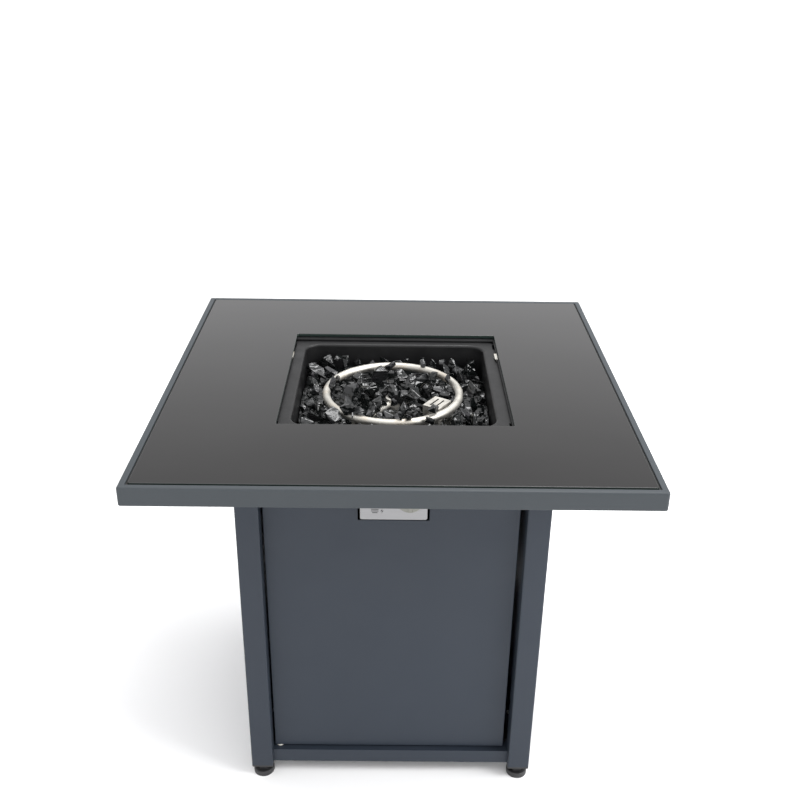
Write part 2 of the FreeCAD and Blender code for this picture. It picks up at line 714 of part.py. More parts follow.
def control_box():
    """A folded bracket behind the fascia, open at the back and below."""
    x0 = CONTROL_X - CONTROL_HALF + 1.6
    x1 = CONTROL_X + CONTROL_HALF - 1.6
    z0 = FASCIA_BOTTOM + 2.5
    outer = box(x0, x1, FASCIA_BACK, -185, z0, FASCIA_TOP)
    inner = box(x0 + PLATE, x1 - PLATE, FASCIA_BACK + PLATE, 0, 0, FASCIA_TOP - PLATE)
    return outer.cut([inner] + control_holes())


def fascia_screws():
    return Part.makeCompound([screw(seat, Y_AXIS, length=7) for seat in fascia_seats()])


def valve_axis(y):
    return V(KNOB_X, y, KNOB_Z)


def gas_valve():
    """A brass gas valve: neck to the front, inlet boss below, outlet to the back."""
    block = box(KNOB_X - 17, KNOB_X + 17, -204, -172, KNOB_Z - 17, KNOB_Z + 17)
    block = block.makeFillet(3, block.Edges)
    body = join([
        block,
        rod(9, valve_axis(-208), valve_axis(-200)),
        rod(8, V(KNOB_X, -188, KNOB_Z - 10), V(KNOB_X, -188, KNOB_Z - 25)),
        rod(6.5, valve_axis(-175), valve_axis(-162)),
        rod(4.5, V(KNOB_X + 11, -175, KNOB_Z - 9), V(KNOB_X + 11, -164, KNOB_Z - 9)),
    ])
    return body.cut([
        rod(3 + RUNNING_GAP, valve_axis(-209), valve_axis(-186)),
        rod(4, valve_axis(-168), valve_axis(-161)),
        rod(5, V(KNOB_X, -188, KNOB_Z - 20), V(KNOB_X, -188, KNOB_Z - 26)),
        rod(1.3, V(KNOB_X + 11, -168, KNOB_Z - 9), V(KNOB_X + 11, -163, KNOB_Z - 9)),
    ])


def stem_collar():
    """The washer that the knob pushes in with the stem."""
    return pipe(7, 3 + RUNNING_GAP, valve_axis(-213.4), valve_axis(-211.6))


def valve_stem():
    """A shaft with a flat on its front end, and a shoulder each side of the collar."""
    stem = join([
        rod(3, valve_axis(-232), valve_axis(-191)),
        rod(4, valve_axis(-214.4), valve_axis(-213.5)),
        rod(4, valve_axis(-211.5), valve_axis(-211)),
    ])
    return stem.cut(stem_flat())


def stem_flat():
    return box(KNOB_X - 5, KNOB_X + 5, -233, -221, KNOB_Z + 2.2, KNOB_Z + 5)


def control_knob():
    """A turned knob: a broad skirt, a fluted grip and a raised pointer bar."""
    back = -221.8
    skirt = rod(KNOB_RADIUS, valve_axis(back), valve_axis(back - 6))
    skirt = skirt.makeFillet(2, [e for e in skirt.Edges if abs(e.BoundBox.YMax - (back - 6)) < 0.01])
    grip = Part.makeCone(20, 18, 14, valve_axis(back - 5), -Y_AXIS)
    grip = grip.makeFillet(1.5, [e for e in grip.Edges if abs(e.BoundBox.YMax - (back - 19)) < 0.01])
    bar = box(KNOB_X - 3.5, KNOB_X + 3.5, back - 5, back - 20.2, KNOB_Z - 17, KNOB_Z + 17)
    bar = bar.makeFillet(1.2, bar.Edges)
    knob = join([skirt, grip])
    for k in range(24):
        around = math.radians(15 * k)
        at = V(KNOB_X + 20.6 * math.cos(around), back - 6, KNOB_Z + 20.6 * math.sin(around))
        knob = knob.cut(rod(1.7, at, at - Y_AXIS * 16))
    knob = join([knob, bar])
    bore = rod(3, valve_axis(back + 1), valve_axis(-232)).cut(stem_flat())
    return knob.cut(bore)


def button_axis(y):
    return V(BUTTON_X, y, BUTTON_Z)


def igniter_housing():
    """A tubular housing with a bezel in front, a bore for the button and one behind for the battery."""
    front = FASCIA_FRONT - 2.5
    bezel = rod(13.5, button_axis(FASCIA_FRONT), button_axis(front))
    bezel = bezel.makeFillet(1.2, [e for e in bezel.Edges if abs(e.BoundBox.YMax - front) < 0.01])
    body = join([bezel, rod(10, button_axis(FASCIA_FRONT), button_axis(-152))])
    return body.cut([
        rod(8 + RUNNING_GAP, button_axis(-230), button_axis(-204)),
        rod(5.6, button_axis(-202), button_axis(-155)),
    ])


def igniter_battery():
    return join([
        rod(5.25, button_axis(-200.5), button_axis(-157)),
        rod(1.9, button_axis(-201.5), button_axis(-200)),
    ])


def igniter_button():
    button = rod(8, button_axis(-226), button_axis(-209))
    front = [e for e in button.Edges if abs(e.BoundBox.YMax + 226) < 0.01]
    return button.makeFillet(1.5, front)


def inlet_fitting():
    """The flare fitting below the valve that a gas hose screws on to."""
    top = V(KNOB_X, -188, KNOB_Z - 20)
    body = join([
        rod(5, top, top - Z_AXIS * 6),
        hexagon(16, top - Z_AXIS * 5, top - Z_AXIS * 13),
        rod(7.9, top - Z_AXIS * 12, top - Z_AXIS * 26),
        Part.makeCone(7.9, 5, 3, top - Z_AXIS * 26, -Z_AXIS),
    ])
    return body.cut(rod(3, top + Z_AXIS, top - Z_AXIS * 30))


def feed_pipe():
    """The rigid tube from the valve to the orifice, with a nut at each end."""
    def at(y):
        return BURNER_MIDDLE + V(0, y, BURNER_LINE_Z)
    line = bent_rod([valve_axis(-168), valve_axis(-139), at(-116), at(-88)], 4)
    nut_back = hexagon(14, valve_axis(-162), valve_axis(-152))
    nut_front = hexagon(14, at(-94), at(-103))
    return join([line, nut_back, nut_front])


def igniter_lead():
    """The insulated lead from the igniter to the electrode."""
    foot = spark_foot() + BURNER_MIDDLE
    return bent_rod([
        button_axis(-152),
        button_axis(-131),
        V(-10, -121, 522),
        V(20, -110, 514),
        V(48, -84, 518),
        V(foot.x, foot.y, 534),
        V(foot.x, foot.y, PAN_FLOOR + 10),
    ], 1.5)


def thermocouple_tube():
    """The thin tube from the probe to the valve."""
    foot = probe_foot() + BURNER_MIDDLE
    return bent_rod([
        V(KNOB_X + 11, -168, KNOB_Z - 9),
        V(KNOB_X + 11, -146, KNOB_Z - 9),
        V(52, -112, 531),
        V(foot.x, foot.y, 536),
        V(foot.x, foot.y, PAN_FLOOR + 10),
    ], 1.25)


def burner_group():
    """The pan and all that hangs on it, made round the middle axis."""
    return {
        "pan_supports": pan_supports(),
        "burner_pan": burner_pan(),
        "fire_glass": fire_glass(),
        "burner_ring": burner_ring(),
        "burner_crossbar": burner_crossbar(),
        "burner_nipple": burner_nipple(),
        "pan_locknuts": pan_locknuts(),
        "burner_elbow": burner_elbow(),
        "air_mixer": air_mixer(),
        "gas_orifice": gas_orifice(),
        "igniter_cage": igniter_cage(),
        "igniter_bracket": igniter_bracket(),
        "spark_electrode": spark_electrode(),
        "thermocouple_probe": thermocouple_probe(),
    }


def model():
    """Every node of the table, by name."""
    parts = dict(top_rails())
    parts["top_deck"] = top_deck()
    parts["glass_gasket"] = glass_gasket()
    parts["glass_top"] = glass_top()
    parts["deck_bearers"] = deck_bearers()
    parts["pan_clips"] = pan_clips()
    for name, shape in burner_group().items():
        parts[name] = moved(shape, BURNER_MIDDLE)
    for name, at in corners().items():
        parts[f"post_{name}"] = moved(post(), at)
        parts[f"foot_{name}"] = moved(levelling_foot(), at)
    parts["post_plugs"] = post_plugs()
    parts["column_top_rails"] = column_rails(TOP_RAIL_BOTTOM)
    parts["column_base_rails"] = column_rails(POST_BOTTOM)
    parts["panel_right"] = fixed_panel(90)
    parts["panel_back"] = fixed_panel(180).cut(vents())
    parts["panel_left"] = fixed_panel(270)
    parts["panel_screws"] = Part.makeCompound([screw(at, way) for at, way in panel_screw_seats()])
    parts["floor_plate"] = floor_plate()
    parts["tank_ring"] = tank_ring()
    parts["door_panel"] = door_panel()
    parts["door_hinge_plates"] = hinge_plates()
    parts["hinge_bushes"] = hinge_bushes()
    parts["hinge_pins"] = hinge_pins()
    parts["catch_magnet"] = catch_magnet()
    parts["door_strike"] = door_strike()
    parts["control_box"] = control_box()
    parts["control_fascia"] = control_fascia()
    parts["fascia_screws"] = fascia_screws()
    parts["gas_valve"] = gas_valve()
    parts["stem_collar"] = stem_collar()
    parts["valve_stem"] = valve_stem()
    parts["control_knob"] = control_knob()
    parts["igniter_housing"] = igniter_housing()
    parts["igniter_battery"] = igniter_battery()
    parts["igniter_button"] = igniter_button()
    parts["inlet_fitting"] = inlet_fitting()
    parts["feed_pipe"] = feed_pipe()
    parts["igniter_lead"] = igniter_lead()
    parts["thermocouple_tube"] = thermocouple_tube()
    return parts


os.makedirs("parts", exist_ok=True)
for node, shape in model().items():
    shape.exportStep(f"parts/{node}.step")
    print(node, len(shape.Solids), shape.isValid(), round(shape.Volume / 1000, 1))
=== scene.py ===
import json
import math
import random

import bmesh
import bpy
import numpy as np
from mathutils import Euler, Matrix, Vector, noise


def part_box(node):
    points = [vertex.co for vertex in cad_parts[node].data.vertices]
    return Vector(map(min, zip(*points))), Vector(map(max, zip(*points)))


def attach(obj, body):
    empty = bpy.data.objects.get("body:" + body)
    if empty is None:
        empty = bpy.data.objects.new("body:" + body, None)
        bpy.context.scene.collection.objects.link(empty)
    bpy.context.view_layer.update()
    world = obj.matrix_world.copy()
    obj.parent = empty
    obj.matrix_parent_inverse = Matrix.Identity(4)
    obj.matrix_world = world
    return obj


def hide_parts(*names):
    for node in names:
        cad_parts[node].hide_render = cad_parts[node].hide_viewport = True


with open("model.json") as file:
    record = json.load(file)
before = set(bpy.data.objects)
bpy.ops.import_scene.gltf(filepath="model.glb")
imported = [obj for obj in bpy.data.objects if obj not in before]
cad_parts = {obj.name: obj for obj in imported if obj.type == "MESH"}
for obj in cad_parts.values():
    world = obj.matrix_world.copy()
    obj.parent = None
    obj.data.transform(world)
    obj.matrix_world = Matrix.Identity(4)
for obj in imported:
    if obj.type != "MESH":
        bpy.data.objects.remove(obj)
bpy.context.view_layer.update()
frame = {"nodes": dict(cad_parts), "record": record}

nodes = frame["nodes"]
random.seed(28)
rng = np.random.default_rng(28)

# Places read from the frame
BED_LOW, BED_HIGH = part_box("fire_glass")
RING_LOW, RING_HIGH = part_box("burner_ring")
CAGE_LOW, CAGE_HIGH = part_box("igniter_cage")
RAIL_LOW, RAIL_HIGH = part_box("top_rail_front")
FASCIA_LOW, FASCIA_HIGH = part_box("control_fascia")
KNOB_LOW, KNOB_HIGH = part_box("control_knob")
BUTTON_LOW, BUTTON_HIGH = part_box("igniter_button")
FRAME_TOP = RAIL_HIGH.z


def middle(low, high):
    return (Vector(low) + Vector(high)) / 2


# Materials

class Surface:
    """A Principled material whose inputs are driven by procedural nodes in the piece's own coordinates."""

    def __init__(self, name, colour, roughness, metallic=0.0, ior=1.5, **sockets):
        self.material = bpy.data.materials.new(name)
        self.material.use_nodes = True
        self.tree = self.material.node_tree
        self.shader = self.tree.nodes["Principled BSDF"]
        self.colour = colour
        self.set("Base Color", (*colour, 1))
        self.set("Roughness", roughness)
        self.set("Metallic", metallic)
        self.set("IOR", ior)
        for socket, value in sockets.items():
            self.set(socket.replace("_", " ").title(), value)
        self.place = self.tree.nodes.new("ShaderNodeTexCoord").outputs["Object"]
        self.normal = None

    def set(self, socket, value):
        self.shader.inputs[socket].default_value = value

    def node(self, kind, **inputs):
        made = self.tree.nodes.new(kind)
        for socket, value in inputs.items():
            self.feed(value, made.inputs[socket.replace("_", " ")])
        return made

    def feed(self, value, socket):
        if isinstance(value, bpy.types.NodeSocket):
            self.tree.links.new(value, socket)
        else:
            socket.default_value = value

    def stretched(self, scale):
        """The place in the piece, scaled by a number along each axis."""
        return self.node("ShaderNodeMapping", Vector=self.place, Scale=scale).outputs["Vector"]

    def noise(self, scale, detail=2.0, rough=0.5, at=None):
        place = at or self.place
        made = self.node("ShaderNodeTexNoise", Vector=place, Scale=scale, Detail=detail, Roughness=rough)
        return made.outputs["Fac"]

    def cells(self, scale, feature="F1", output="Distance"):
        made = self.node("ShaderNodeTexVoronoi", Vector=self.place, Scale=scale)
        made.feature = feature
        return made.outputs[output]

    def spread(self, value, low, high, to_low=0.0, to_high=1.0):
        made = self.node("ShaderNodeMapRange", Value=value)
        ends = {"From Min": low, "From Max": high, "To Min": to_low, "To Max": to_high}
        for socket, number in ends.items():
            made.inputs[socket].default_value = number
        return made.outputs["Result"]

    def mix(self, fac, a, b):
        """Colour a where fac is 0 and b where it is 1."""
        made = self.tree.nodes.new("ShaderNodeMix")
        made.data_type = "RGBA"
        self.feed(fac, made.inputs["Factor"])
        for value, socket in ((a, made.inputs[6]), (b, made.inputs[7])):
            self.feed((*value, 1) if isinstance(value, tuple) and len(value) == 3 else value, socket)
        return made.outputs[2]

    def maths(self, operation, a, b=0.0):
        made = self.tree.nodes.new("ShaderNodeMath")
        made.operation = operation
        self.feed(a, made.inputs[0])
        self.feed(b, made.inputs[1])
        return made.outputs[0]

    def paint(self, value, socket="Base Color"):
        self.feed(value, self.shader.inputs[socket])

    def bump(self, height, distance, strength=1.0):
        """Adds relief, on top of what is there already."""
        made = self.node("ShaderNodeBump", Height=height, Strength=strength, Distance=distance)
        if self.normal is not None:
            self.tree.links.new(self.normal, made.inputs["Normal"])
        self.normal = made.outputs["Normal"]
        self.tree.links.new(self.normal, self.shader.inputs["Normal"])


def shade(colour, factor):
    return tuple(min(1.0, c * factor) for c in colour)


def powder_coat(name, colour):
    """Satin paint with a fine orange peel, faint clouding and a few pale dust grains."""
    s = Surface(name, colour, 0.45)
    s.set("Specular IOR Level", 0.3)
    cloud = s.spread(s.noise(2.5, 4), 0.3, 0.7)
    grain = s.spread(s.noise(900, 2), 0.35, 0.65)
    base = s.mix(cloud, shade(colour, 0.93), shade(colour, 1.07))
    flecked = s.mix(s.maths("MULTIPLY", grain, 0.35), base, shade(colour, 1.3))
    dust = s.spread(s.cells(260), 0.02, 0.0)
    s.paint(s.mix(s.maths("MULTIPLY", dust, 0.25), flecked, shade(colour, 2.2)))
    s.paint(s.spread(s.noise(14, 3), 0.3, 0.7, 0.4, 0.5), "Roughness")
    s.bump(s.noise(420, 2), 0.00012, 0.35)
    s.bump(s.noise(1800, 1), 0.00003, 0.3)
    return s.material


def top_glass():
    """Dark back-painted glass: a faint roller wave, wiped smears, dust specks and green-black edges."""
    colour = (0.016, 0.0155, 0.0155)
    s = Surface("tempered_glass", colour, 0.05, ior=1.52)
    cloud = s.spread(s.noise(3, 5), 0.3, 0.7)
    face = s.mix(cloud, shade(colour, 0.9), shade(colour, 1.12))
    specks = s.maths("MULTIPLY", s.spread(s.cells(140), 0.03, 0.0), 0.3)
    face = s.mix(specks, face, (0.25, 0.25, 0.24))
    normal = s.tree.nodes.new("ShaderNodeNewGeometry").outputs["Normal"]
    up = s.node("ShaderNodeSeparateXYZ", Vector=normal).outputs["Z"]
    s.paint(s.mix(s.spread(up, 0.2, 0.9), (0.012, 0.022, 0.019), face))
    smear = s.noise(5, 6, 0.6, at=s.stretched((1, 4, 1)))
    s.paint(s.spread(smear, 0.35, 0.75, 0.045, 0.12), "Roughness")
    s.bump(s.noise(7, 1, at=s.stretched((0.4, 1.6, 1))), 0.0006, 0.12)
    return s.material


def black_enamel(name, colour=(0.009, 0.009, 0.0095)):
    """Heat-proof black paint, dry and slightly dusty, with soot clouds."""
    s = Surface(name, colour, 0.5)
    s.set("Specular IOR Level", 0.3)
    soot = s.spread(s.noise(16, 5, 0.6), 0.35, 0.7)
    dusty = s.mix(s.spread(s.noise(1300, 2), 0.5, 0.75, 0, 0.4), colour, shade(colour, 2.4))
    s.paint(s.mix(s.maths("MULTIPLY", soot, 0.5), dusty, shade(colour, 0.45)))
    s.paint(s.spread(s.noise(40, 3), 0.3, 0.7, 0.36, 0.5), "Roughness")
    s.bump(s.noise(600, 3), 0.00012, 0.4)
    return s.material


def metal(name, colour, roughness, grain=(30, 30, 900), tint=None, tint_share=0.5):
    """Bare metal with drawn grain, small pits and, where it gets hot, tinted clouds."""
    s = Surface(name, colour, roughness, metallic=1.0)
    lines = s.noise(1, 3, 0.6, at=s.stretched(grain))
    base = s.mix(s.spread(lines, 0.3, 0.7), shade(colour, 0.9), shade(colour, 1.06))
    if tint:
        clouds = s.spread(s.noise(28, 4, 0.6), 0.52, 0.72, 0, tint_share)
        base = s.mix(clouds, base, tint)
    s.paint(base)
    s.paint(s.spread(lines, 0.3, 0.7, roughness * 0.85, roughness * 1.2), "Roughness")
    s.bump(lines, 0.00003, 0.5)
    s.bump(s.spread(s.cells(350), 0.0, 0.12), 0.00003, 0.25)
    return s.material


def zinc(name):
    """Bright zinc plate with a faint crystal pattern."""
    s = Surface(name, (0.6, 0.61, 0.63), 0.34, metallic=1.0)
    crystals = s.cells(240, output="Color")
    tone = s.node("ShaderNodeSeparateXYZ", Vector=crystals).outputs["X"]
    s.paint(s.mix(tone, (0.5, 0.51, 0.54), (0.7, 0.71, 0.72)))
    s.paint(s.spread(tone, 0, 1, 0.28, 0.42), "Roughness")
    s.bump(s.noise(800, 2), 0.00003, 0.3)
    return s.material


def plastic(name, colour, roughness):
    """Moulded plastic with a fine spark texture and rubbed, shinier patches."""
    s = Surface(name, colour, roughness)
    s.paint(s.mix(s.spread(s.noise(30, 4), 0.35, 0.65), shade(colour, 0.9), shade(colour, 1.15)))
    s.paint(s.spread(s.noise(55, 3), 0.35, 0.7, roughness * 0.8, roughness * 1.15), "Roughness")
    s.bump(s.noise(1500, 2), 0.00004, 0.5)
    return s.material


def rubber(name, colour):
    s = Surface(name, colour, 0.75)
    s.paint(s.mix(s.spread(s.noise(60, 4), 0.4, 0.7), colour, shade(colour, 1.8)))
    s.bump(s.noise(900, 3), 0.00008, 0.6)
    return s.material


def electrode():
    """White ceramic round the middle of the rod, bare wire above and below it."""
    low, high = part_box("spark_electrode")
    s = Surface("electrode", (0.85, 0.83, 0.78), 0.2)
    height = s.node("ShaderNodeSeparateXYZ", Vector=s.place).outputs["Z"]
    above = s.maths("GREATER_THAN", height, low.z + 0.0261)
    below = s.maths("LESS_THAN", height, low.z + 0.0039)
    wire = s.maths("ADD", above, below)
    glaze = s.mix(s.spread(s.noise(300, 3), 0.4, 0.6), (0.8, 0.78, 0.72), (0.88, 0.86, 0.81))
    s.paint(s.mix(wire, glaze, (0.45, 0.43, 0.4)))
    s.paint(wire, "Metallic")
    s.bump(s.noise(500, 2), 0.00003, 0.3)
    return s.material


def satin_plate():
    """Silver plate with a level brushed grain."""
    colour = (0.26, 0.26, 0.265)
    s = Surface("satin_plate", colour, 0.36, metallic=0.75)
    lines = s.noise(1, 3, 0.6, at=s.stretched((12, 40, 1800)))
    s.paint(s.mix(s.spread(lines, 0.3, 0.7), shade(colour, 0.92), shade(colour, 1.06)))
    s.paint(s.spread(lines, 0.3, 0.7, 0.32, 0.44), "Roughness")
    s.bump(lines, 0.00002, 0.5)
    return s.material


def black_chip():
    """Black glass broken in shells: ripples on the facets, each facet with its own gloss, and on facets with
    a high tone a lighter lilac grey as painted reflection.
    """
    s = Surface("black_chip", (0.006, 0.006, 0.007), 0.06, ior=1.55)
    facet = s.tree.nodes.new("ShaderNodeAttribute")
    facet.attribute_name = "tone"
    tone = facet.outputs["Fac"]
    # Painted reflection: facets with a high tone get a lighter lilac-grey base that stands in for the room
    # mirrored in them; it is not the glass's own colour.
    lilac_reflection = s.mix(s.spread(s.noise(45, 2), 0.45, 0.7), (0.02, 0.021, 0.022), (0.04, 0.037, 0.042))
    s.paint(s.mix(s.spread(tone, 0.45, 1.0), (0.004, 0.005, 0.005), lilac_reflection))
    dull = s.spread(s.noise(70, 3), 0.4, 0.7, 0.0, 0.1)
    s.paint(s.maths("ADD", dull, s.spread(tone, 0.1, 1.0, 0.06, 0.34)), "Roughness")
    shells = s.tree.nodes.new("ShaderNodeTexWave")
    shells.wave_type = "RINGS"
    s.feed(s.place, shells.inputs["Vector"])
    for socket, value in (("Scale", 38), ("Distortion", 7), ("Detail", 1), ("Detail Scale", 1.5)):
        shells.inputs[socket].default_value = value
    s.bump(shells.outputs["Fac"], 0.0012, 0.5)
    s.bump(s.noise(110, 3), 0.0014, 0.7)
    return s.material


def print_ink():
    s = Surface("print_ink", (0.035, 0.035, 0.037), 0.5)
    s.paint(s.mix(s.noise(1500, 2), (0.03, 0.03, 0.032), (0.055, 0.055, 0.058)))
    s.bump(s.noise(2200, 2), 0.00001, 0.4)
    return s.material


def pale_ink():
    s = Surface("pale_ink", (0.7, 0.7, 0.67), 0.45)
    s.paint(s.mix(s.noise(1200, 2), (0.62, 0.62, 0.6), (0.78, 0.78, 0.75)))
    s.bump(s.noise(1800, 2), 0.00001, 0.4)
    return s.material


SLATE_TOP = (0.036, 0.0425, 0.048)
SLATE_COLUMN = (0.0206, 0.027, 0.038)
finishes = {
    "frame_coat": powder_coat("slate_coat_top", SLATE_TOP),
    "column_coat": powder_coat("slate_coat_column", SLATE_COLUMN),
    "pan_enamel": black_enamel("black_enamel"),
    "top_glass": top_glass(),
    "seal_rubber": rubber("seal_rubber", (0.006, 0.006, 0.006)),
    "stainless": metal("stainless", (0.53, 0.515, 0.475), 0.54, (60, 60, 60), (0.5, 0.41, 0.31)),
    "zinc_steel": zinc("zinc_plate"),
    "brass": metal("brass", (0.78, 0.57, 0.27), 0.28, (40, 900, 40), (0.5, 0.33, 0.16), 0.35),
    "aluminium": metal("aluminium", (0.74, 0.75, 0.76), 0.36, (60, 60, 400)),
    "ceramic": electrode(),
    "black_plastic": plastic("black_plastic", (0.018, 0.018, 0.019), 0.5),
    "nylon": plastic("nylon", (0.72, 0.7, 0.64), 0.42),
    "knob_plastic": plastic("knob_plastic", (0.19, 0.19, 0.168), 0.42),
    "button_plastic": plastic("button_plastic", (0.03, 0.03, 0.031), 0.4),
    "fascia_silver": satin_plate(),
    "fire_glass_chips": black_chip(),
    "lead_sleeve": rubber("lead_sleeve", (0.35, 0.035, 0.025)),
    "battery_wrap": plastic("battery_wrap", (0.03, 0.045, 0.09), 0.3),
}
ink = print_ink()
white_ink = pale_ink()

slot_of = {entry["node"]: entry["material_slot"] for entry in frame["record"]["subparts"]}
for name, cad in nodes.items():
    cad.data.materials.clear()
    cad.data.materials.append(finishes[slot_of[name]])


def piece(name, mesh, slot, body, material=None):
    """A new object that rides on a body and takes its finish from a slot."""
    made = bpy.data.objects.new(name, mesh)
    bpy.context.scene.collection.objects.link(made)
    mesh.materials.append(material or finishes[slot])
    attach(made, body)
    return made


def mesh_from(name, verts, faces):
    mesh = bpy.data.meshes.new(name)
    mesh.from_pydata([tuple(v) for v in verts], [], faces)
    mesh.update()
    return mesh


# Glass chips: a rough bed below and loose angular chips on it

CHIP_SMALL = 0.0125
CHIP_LARGE = 0.019
FILLER_SMALL = 0.008
FILLER_LARGE = 0.011
CHIP_KINDS = 26
BED_MIDDLE = middle(BED_LOW, BED_HIGH)
RING_CENTRE = middle(RING_LOW, RING_HIGH)
PAN_HALF = (BED_HIGH.x - BED_LOW.x) / 2
PAN_CORNER = 0.024
RING_MIDDLE = RING_CENTRE.z
TUBE = (RING_HIGH.z - RING_LOW.z) / 2
RING_RADIUS = (RING_HIGH.x - RING_LOW.x) / 2 - TUBE
CAGE_MIDDLE = middle(CAGE_LOW, CAGE_HIGH)
CAGE_TURN = math.atan2(CAGE_MIDDLE.y - RING_CENTRE.y, CAGE_MIDDLE.x - RING_CENTRE.x)
CAGE_SHORT = 0.0145
CAGE_LONG = 0.019
CAGE_ROOM = 0.03  # within this distance no chip may stand above the cage
MIDDLE_CHIP = 0.014
HUB_CHIP = 0.0135
HUB_REACH = 0.017
BAR_CHIP = 0.0155
BAR_START = 0.028
BAR_STEP = 0.011
LIE = 0.6  # height of a settled chip's middle, as a share of its radius
CLOSE = 0.95  # how near a chip comes to the ring or the pan's wall
PACKED = 0.8  # how far settled chips lie apart, as a share of their radii
BED_LEVEL = RING_MIDDLE - 0.017
CHIP_LEVEL = RING_MIDDLE + 0.002


def chip_kind():
    """One shard of about unit radius, with flat facets and worn edges, and a random tone for each facet that
    later sets its painted reflection and its gloss.
    """
    stretch = Vector((random.uniform(1.0, 1.4), random.uniform(0.7, 1.0), random.uniform(0.5, 0.8)))
    made = bmesh.new()
    for _ in range(random.randint(9, 12)):
        way = Vector((random.gauss(0, 1), random.gauss(0, 1), random.gauss(0, 1))).normalized()
        made.verts.new(way * random.uniform(0.9, 1.1) * stretch)
    bmesh.ops.convex_hull(made, input=made.verts)
    loose = [v for v in made.verts if not v.link_faces]
    bmesh.ops.delete(made, geom=loose, context="VERTS")
    bmesh.ops.dissolve_limit(made, angle_limit=math.radians(20), verts=made.verts, edges=made.edges)
    facet = made.faces.layers.float.new("facet")
    for face in made.faces:
        face[facet] = random.random()
    bmesh.ops.bevel(made, geom=list(made.edges) + list(made.verts), offset=0.04, segments=1, affect="EDGES")
    bmesh.ops.triangulate(made, faces=made.faces)
    made.verts.index_update()
    verts = np.array([v.co for v in made.verts])
    faces = [tuple(v.index for v in f.verts) for f in made.faces]
    reflection_and_gloss_tones = [f[facet] for f in made.faces]
    made.free()
    return verts, faces, reflection_and_gloss_tones


def in_pan(x, y, radius):
    """Is a chip of this radius inside the rounded square of the pan?"""
    reach = PAN_HALF - radius * CLOSE
    across = abs(x - BED_MIDDLE.x)
    along = abs(y - BED_MIDDLE.y)
    beyond_x = across - (PAN_HALF - PAN_CORNER)
    beyond_y = along - (PAN_HALF - PAN_CORNER)
    if beyond_x > 0 and beyond_y > 0:
        return math.hypot(beyond_x, beyond_y) < PAN_CORNER - radius * CLOSE
    return across < reach and along < reach


def cage_clearance(x, y):
    """How far a point lies outside the igniter cage's plan."""
    c, s = math.cos(-CAGE_TURN), math.sin(-CAGE_TURN)
    dx = x - CAGE_MIDDLE.x
    dy = y - CAGE_MIDDLE.y
    return max(abs(dx * c - dy * s) - CAGE_SHORT, abs(dx * s + dy * c) - CAGE_LONG)


def from_centre(x, y):
    return math.hypot(x - RING_CENTRE.x, y - RING_CENTRE.y)


def rest_height(x, y, radius, heap):
    """The height at which a chip comes to rest on the bed, the ring and the chips already there."""
    level = BED_LEVEL + radius * LIE
    from_ring = abs(from_centre(x, y) - RING_RADIUS)
    touch = radius * CLOSE + TUBE
    if from_ring < touch:
        level = max(level, RING_MIDDLE + math.sqrt(touch ** 2 - from_ring ** 2))
    if len(heap):
        placed = np.array(heap)
        apart = (placed[:, 3] + radius) * PACKED
        flat = (placed[:, 0] - x) ** 2 + (placed[:, 1] - y) ** 2
        near = flat < apart ** 2
        if near.any():
            tops = placed[near, 2] + np.sqrt(apart[near] ** 2 - flat[near])
            level = max(level, tops.max())
    return level


def drop_chips(heap, small, large, limit):
    """Drops chips one by one, each into the lowest of a few random places, until the heap is full."""
    misses = 0
    while misses < limit:
        radius = float(rng.uniform(small, large))
        best = None
        for _ in range(9):
            x = BED_MIDDLE.x + rng.uniform(-PAN_HALF, PAN_HALF)
            y = BED_MIDDLE.y + rng.uniform(-PAN_HALF, PAN_HALF)
            if not in_pan(x, y, radius) or cage_clearance(x, y) < radius * 1.15:
                continue
            z = rest_height(x, y, radius, heap)
            if best is None or z < best[2]:
                best = (x, y, z)
        near_cage = best is not None and cage_clearance(*best[:2]) < CAGE_ROOM
        hides_cage = near_cage and best[2] + radius * 1.15 > CAGE_HIGH.z - 0.001
        if best is None or hides_cage or best[2] > CHIP_LEVEL + rng.uniform(-0.004, 0.006):
            misses += 1
            continue
        heap.append((*best, radius))


def hub_chips():
    """Broad chips laid over the cross tube and its hub, overlapping one another."""
    made = [(RING_CENTRE.x, RING_CENTRE.y, RING_MIDDLE - 0.002, MIDDLE_CHIP)]
    for k in range(5):
        angle = 2 * math.pi * k / 5
        made.append((RING_CENTRE.x + HUB_REACH * math.cos(angle), RING_CENTRE.y + HUB_REACH * math.sin(angle),
                     RING_MIDDLE - 0.006, HUB_CHIP))
    along_x = math.cos(CAGE_TURN + math.pi / 2)
    along_y = math.sin(CAGE_TURN + math.pi / 2)
    for k in range(7):
        for reach in (-BAR_START - BAR_STEP * k, BAR_START + BAR_STEP * k):
            x = RING_CENTRE.x + reach * along_x - 0.002
            y = RING_CENTRE.y + reach * along_y - 0.005
            made.append((x, y, RING_MIDDLE - 0.004, BAR_CHIP))
    return made


def settled_chips():
    """Chips over the cross tube, then broad chips, then smaller ones in the hollows between them."""
    heap = hub_chips()
    drop_chips(heap, CHIP_SMALL, CHIP_LARGE, 90)
    drop_chips(heap, FILLER_SMALL, FILLER_LARGE, 40)
    return heap


def riders():
    """A few chips that lie over the ring or lean on its inner side, as loose fill does."""
    spots = (
        (274, 0.010, 0.98), (305, 0.0125, 1.0), (231, 0.012, 1.03), (239, 0.009, 0.97), (93, 0.011, 0.9),
        (22, 0.009, 0.92), (158, 0.010, 0.91), (172, 0.011, 0.91), (62, 0.008, 1.0), (283, 0.008, 1.04),
    )
    made = []
    for degrees, radius, share in spots:
        angle = math.radians(degrees)
        reach = RING_RADIUS * share
        apart = abs(reach - RING_RADIUS)
        lift = math.sqrt(max(0.0, (TUBE + radius * 0.62) ** 2 - apart ** 2))
        x = RING_CENTRE.x + reach * math.cos(angle)
        y = RING_CENTRE.y + reach * math.sin(angle)
        made.append((x, y, RING_MIDDLE + lift, radius))
    return made


